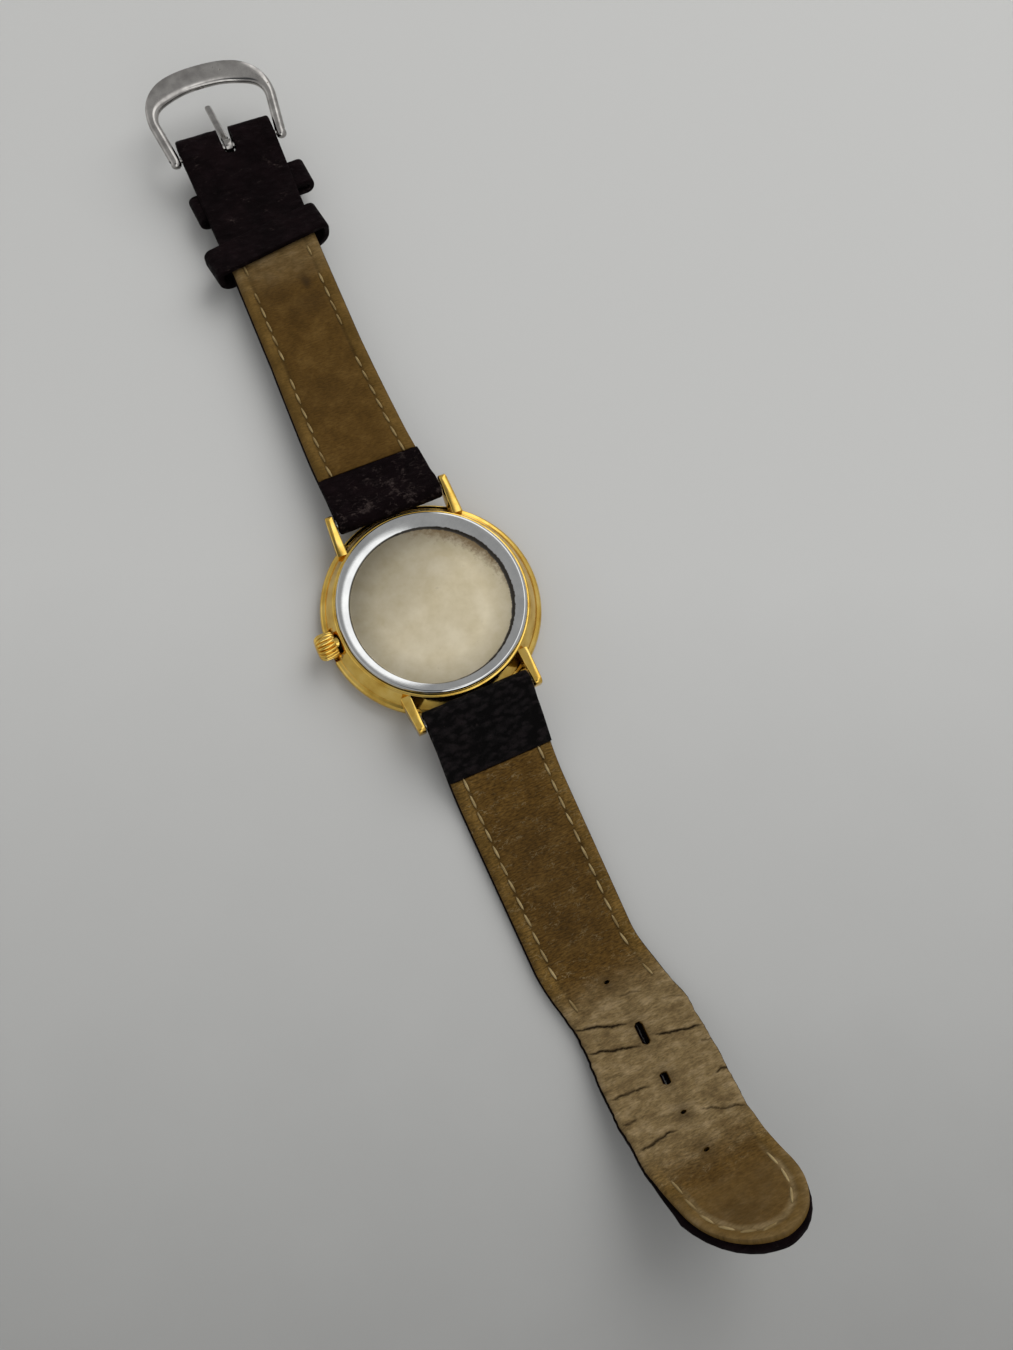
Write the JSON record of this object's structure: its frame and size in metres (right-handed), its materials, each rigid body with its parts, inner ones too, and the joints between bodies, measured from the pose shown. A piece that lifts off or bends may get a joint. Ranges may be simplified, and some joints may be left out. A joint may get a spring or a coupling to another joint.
{
  "type": "wristwatch",
  "caption": "Round gold-plated quartz wristwatch with a steel snap back, slim lugs, a fluted crown and a stitched two-piece leather strap with pin buckle and keepers.",
  "frame": {"origin": "centre of the crystal's flat outer face, on the surface that the watch lies on", "axes": "+Z from the crystal up through the case back; +Y along the buckle half of the strap, which is twelve o'clock; the crown points to -X"},
  "size_m": [0.0367, 0.2015, 0.0198],
  "materials": {
    "gold_plate": "polished yellow gold plating on brass",
    "polished_steel": "polished stainless steel, lightly scratched",
    "movement_brass": "satin, machined",
    "mineral_glass": "clear polished",
    "black_rubber": "matte",
    "white_nylon": "satin",
    "ivory_dial": "satin lacquer",
    "circuit_board": "satin",
    "black_resin": "gloss",
    "copper_wire": "enamelled winding",
    "grey_plastic": "matte",
    "dark_leather": "dark brown grained leather, scuffed",
    "tan_lining": "tan suede-side lining, worn and stained"
  },
  "bodies": {
    "case": {"case_middle": "gold_plate", "case_back": "polished_steel", "case_back_gasket": "black_rubber", "crystal": "mineral_glass", "crystal_gasket": "white_nylon", "crown_tube": "gold_plate", "dial": "ivory_dial", "main_plate": "movement_brass", "movement_ring": "grey_plastic", "train_bridge": "movement_brass", "bridge_screw_1": "polished_steel", "bridge_screw_2": "polished_steel", "bridge_screw_3": "polished_steel", "stator": "polished_steel", "drive_coil": "copper_wire", "button_cell": "polished_steel", "cell_clamp": "polished_steel", "clamp_screw": "polished_steel", "circuit_board": "circuit_board", "quartz_crystal_can": "polished_steel", "driver_chip": "black_resin", "spring_bar_upper": "polished_steel", "spring_bar_lower": "polished_steel"},
    "minutes": {"minute_hand": "gold_plate", "cannon_pinion": "polished_steel", "centre_wheel": "movement_brass"},
    "hours": {"hour_hand": "gold_plate", "hour_wheel": "movement_brass"},
    "minute_wheel_body": {"minute_wheel": "movement_brass"},
    "third_wheel_body": {"third_wheel": "movement_brass"},
    "intermediate_wheel_body": {"intermediate_wheel": "movement_brass"},
    "rotor_body": {"rotor": "polished_steel"},
    "clutch": {"sliding_pinion": "polished_steel"},
    "crown_body": {"crown": "gold_plate", "winding_stem": "polished_steel", "crown_seal": "black_rubber"},
    "short_strap": {"short_strap_outer": "dark_leather", "short_strap_lining": "tan_lining", "fixed_keeper": "dark_leather"},
    "long_strap": {"long_strap_outer": "dark_leather", "long_strap_lining": "tan_lining"},
    "loose_keeper": {"free_keeper": "dark_leather"},
    "buckle": {"buckle_frame": "polished_steel", "buckle_bar": "polished_steel"},
    "tongue": {"buckle_tongue": "polished_steel"}
  },
  "joints": [
    {"name": "minute_turn", "type": "hinge", "parent": "case", "child": "minutes", "pos_m": [0, 0, 0.00245], "axis": [0, 0, 1], "continuous": true},
    {"name": "hour_turn", "type": "hinge", "parent": "case", "child": "hours", "pos_m": [0, 0, 0.00245], "axis": [0, 0, 1], "continuous": true},
    {"name": "minute_wheel_turn", "type": "hinge", "parent": "case", "child": "minute_wheel_body", "pos_m": [-0.00242, 0.0014, 0.0036], "axis": [0, 0, 1], "continuous": true},
    {"name": "third_wheel_turn", "type": "hinge", "parent": "case", "child": "third_wheel_body", "pos_m": [0.0012, 0.00208, 0.0042], "axis": [0, 0, 1], "continuous": true},
    {"name": "intermediate_wheel_turn", "type": "hinge", "parent": "case", "child": "intermediate_wheel_body", "pos_m": [0.00078, 0.00444, 0.0042], "axis": [0, 0, 1], "continuous": true},
    {"name": "rotor_turn", "type": "hinge", "parent": "case", "child": "rotor_body", "pos_m": [-0.00162, 0.00444, 0.0042], "axis": [0, 0, 1], "continuous": true},
    {"name": "crown_turn", "type": "hinge", "parent": "case", "child": "clutch", "pos_m": [-0.01615, 0, 0.004], "axis": [1, 0, 0], "continuous": true},
    {"name": "crown_pull", "type": "slide", "parent": "clutch", "child": "crown_body", "axis": [-1, 0, 0], "range_m": [0, 0.001]},
    {"name": "short_strap_swing", "type": "hinge", "parent": "case", "child": "short_strap", "pos_m": [0, 0.0174, 0.0055], "axis": [1, 0, 0], "range_deg": [-30, 85]},
    {"name": "long_strap_swing", "type": "hinge", "parent": "case", "child": "long_strap", "pos_m": [0, -0.0174, 0.0055], "axis": [-1, 0, 0], "range_deg": [-30, 85]},
    {"name": "keeper_slide", "type": "slide", "parent": "short_strap", "child": "loose_keeper", "axis": [0, 1, 0], "range_m": [-0.02, 0.005]},
    {"name": "buckle_swing", "type": "hinge", "parent": "short_strap", "child": "buckle", "pos_m": [0.0005, 0.0884, 0.00628], "axis": [1, 0, 0], "range_deg": [-58, 77]},
    {"name": "tongue_swing", "type": "hinge", "parent": "buckle", "child": "tongue", "pos_m": [0.0005, 0.0884, 0.00628], "axis": [1, 0, 0], "range_deg": [-32, 20]}
  ],
  "couplings": [
    {"joint": "hour_turn", "follows": "minute_turn", "ratio": 0.083333},
    {"joint": "minute_wheel_turn", "follows": "minute_turn", "ratio": -0.33333},
    {"joint": "third_wheel_turn", "follows": "minute_turn", "ratio": -3},
    {"joint": "intermediate_wheel_turn", "follows": "minute_turn", "ratio": 15},
    {"joint": "rotor_turn", "follows": "minute_turn", "ratio": -90}
  ]
}
